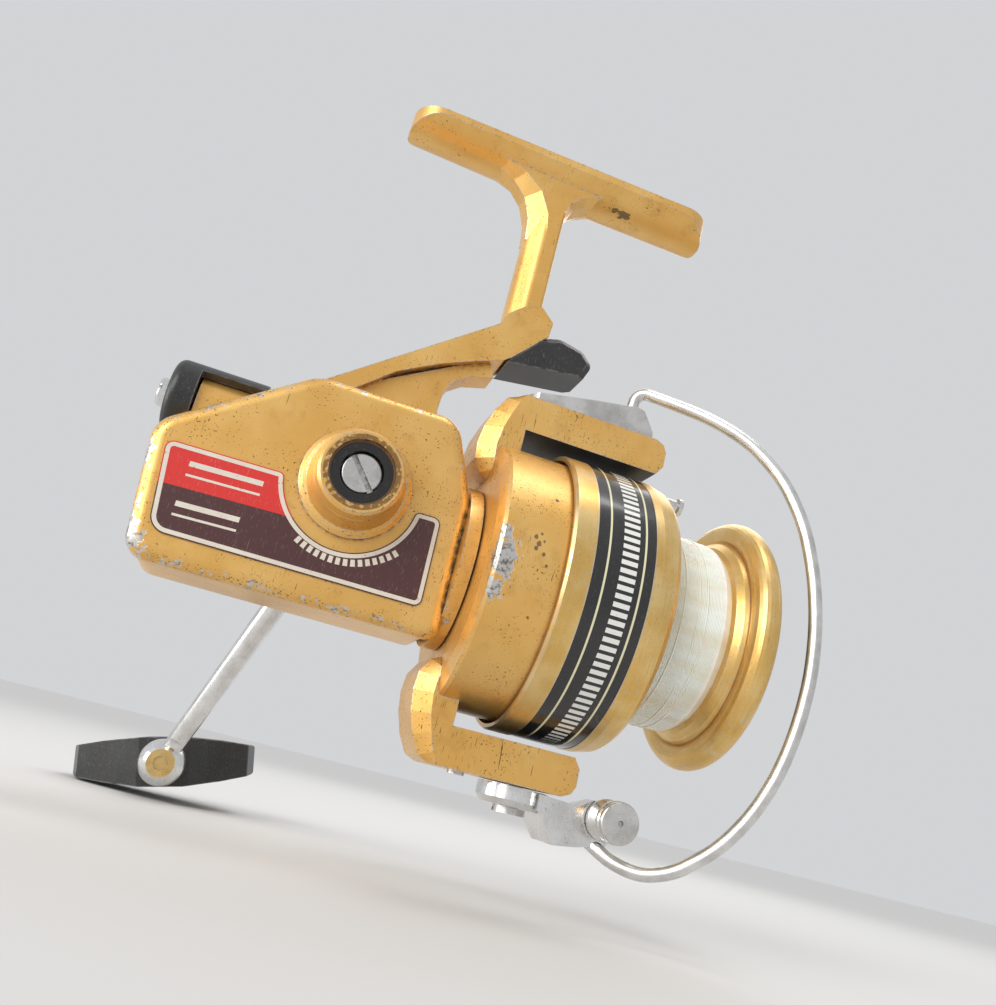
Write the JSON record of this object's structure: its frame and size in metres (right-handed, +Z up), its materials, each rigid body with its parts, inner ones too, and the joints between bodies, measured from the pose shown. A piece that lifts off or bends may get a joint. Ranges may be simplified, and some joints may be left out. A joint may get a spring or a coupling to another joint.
{
  "type": "spinning reel",
  "caption": "Open-face spinning reel with a skirted spool, full bail, front drag knob, side crank with a paddle knob and a mounting foot.",
  "frame": {"origin": "centre of the foot's flat top face, where it seats on the rod", "axes": "+Z up out of the foot into the rod, +X forward along the spool's axis, +Y towards the crank"},
  "size_m": [0.1381, 0.122, 0.1599],
  "materials": {
    "gold_paint": "satin gold paint, worn to bright metal on the edges",
    "spool_gold": "satin gold, polished at the rings and the lip",
    "label_print": "printed foil, dark brown with a red panel and a pale border",
    "band_print": "black printed band with pale lines and dashes",
    "black_plastic": "satin black moulding",
    "black_bush": "oily black",
    "chrome_plate": "plated, lightly scratched",
    "wire_steel": "polished stainless wire",
    "screw_steel": "turned and slotted",
    "holder_alloy": "bright cast alloy",
    "gear_alloy": "die-cast grey alloy, greased",
    "brass_part": "machined brass",
    "nylon_gear": "off-white nylon",
    "shaft_steel": "ground steel",
    "hard_steel": "hardened steel",
    "felt": "oiled felt",
    "line": "pale translucent nylon line, close wound"
  },
  "bodies": {
    "frame": {"housing": "gold_paint", "side_cover": "gold_paint", "cover_screws": "screw_steel", "label_plate": "label_print", "bail_bumper": "black_plastic", "gear_bushing_right": "black_bush", "gear_bushing_left": "black_bush", "bearing_outer_race": "hard_steel", "bearing_retainer": "brass_part", "retainer_screws": "screw_steel", "crosswind_post": "shaft_steel", "lever_screw": "chrome_plate", "pawl_pin": "shaft_steel"},
    "crank": {"drive_gear": "gear_alloy", "oscillation_pinion": "brass_part", "crank_arm": "chrome_plate", "crank_screw": "screw_steel", "knob_pin": "brass_part"},
    "knob": {"knob": "black_plastic"},
    "crosswind": {"crosswind_gear": "nylon_gear"},
    "shaft": {"main_shaft": "shaft_steel", "slider_block": "brass_part", "slider_screws": "screw_steel", "drag_plates": "shaft_steel"},
    "spool": {"spool": "spool_gold", "spool_band": "band_print", "line_winding": "line", "line_clip": "chrome_plate", "felt_washers": "felt", "retaining_ring": "shaft_steel"},
    "drag_knob": {"drag_knob": "black_plastic", "drag_nut": "brass_part", "drag_spring": "shaft_steel"},
    "rotor": {"rotor": "gold_paint", "pinion_gear": "brass_part", "ratchet_wheel": "hard_steel", "bearing_inner_race": "hard_steel", "bearing_balls": "hard_steel", "rotor_washer": "shaft_steel", "rotor_nut": "brass_part", "holder_pivot_screw": "screw_steel", "arm_pivot_screw": "screw_steel", "arm_cover_screw": "screw_steel"},
    "bail": {"bail_wire": "wire_steel", "bail_holder": "holder_alloy", "bail_arm": "chrome_plate", "roller_pin": "screw_steel"},
    "line_roller": {"line_roller": "chrome_plate"},
    "reverse_lever": {"reverse_lever": "black_plastic"},
    "pawl": {"pawl": "hard_steel"}
  },
  "joints": [
    {"name": "crank_turn", "type": "hinge", "parent": "frame", "child": "crank", "pos_m": [-0.0265, 0, -0.0913], "axis": [0, 1, 0], "continuous": true},
    {"name": "rotor_spin", "type": "hinge", "parent": "frame", "child": "rotor", "pos_m": [0, 0, -0.0988], "axis": [1, 0, 0], "continuous": true},
    {"name": "crosswind_turn", "type": "hinge", "parent": "frame", "child": "crosswind", "pos_m": [-0.04035, 0, -0.0988], "axis": [0, 1, 0], "continuous": true},
    {"name": "knob_spin", "type": "hinge", "parent": "crank", "child": "knob", "pos_m": [-0.0473, 0.078, -0.1512], "axis": [0, 1, 0], "continuous": true},
    {"name": "shaft_slide", "type": "slide", "parent": "frame", "child": "shaft", "axis": [1, 0, 0], "range_m": [-0.004, 0.004]},
    {"name": "spool_slip", "type": "hinge", "parent": "shaft", "child": "spool", "pos_m": [0.04, 0, -0.0988], "axis": [1, 0, 0], "continuous": true},
    {"name": "drag_knob_turn", "type": "hinge", "parent": "shaft", "child": "drag_knob", "pos_m": [0.06, 0, -0.0988], "axis": [1, 0, 0], "range_deg": [-360, 360]},
    {"name": "bail_swing", "type": "hinge", "parent": "rotor", "child": "bail", "pos_m": [0.0212, 0, -0.0988], "axis": [0, 0, 1], "range_deg": [0, 85]},
    {"name": "roller_spin", "type": "hinge", "parent": "bail", "child": "line_roller", "pos_m": [0.0379, -0.0121, -0.1397], "axis": [0, 1, 0], "continuous": true},
    {"name": "reverse_lever_turn", "type": "hinge", "parent": "frame", "child": "reverse_lever", "pos_m": [-0.06, 0, -0.0814], "axis": [1, 0, 0], "range_deg": [0, 15]},
    {"name": "pawl_turn", "type": "hinge", "parent": "frame", "child": "pawl", "pos_m": [-0.0088, 0, -0.0864], "axis": [1, 0, 0], "range_deg": [0, 8]}
  ],
  "couplings": [
    {"joint": "rotor_spin", "follows": "crank_turn", "ratio": -5.1111},
    {"joint": "crosswind_turn", "follows": "crank_turn", "ratio": -0.5},
    {"joint": "pawl_turn", "follows": "reverse_lever_turn", "ratio": 0.5}
  ]
}
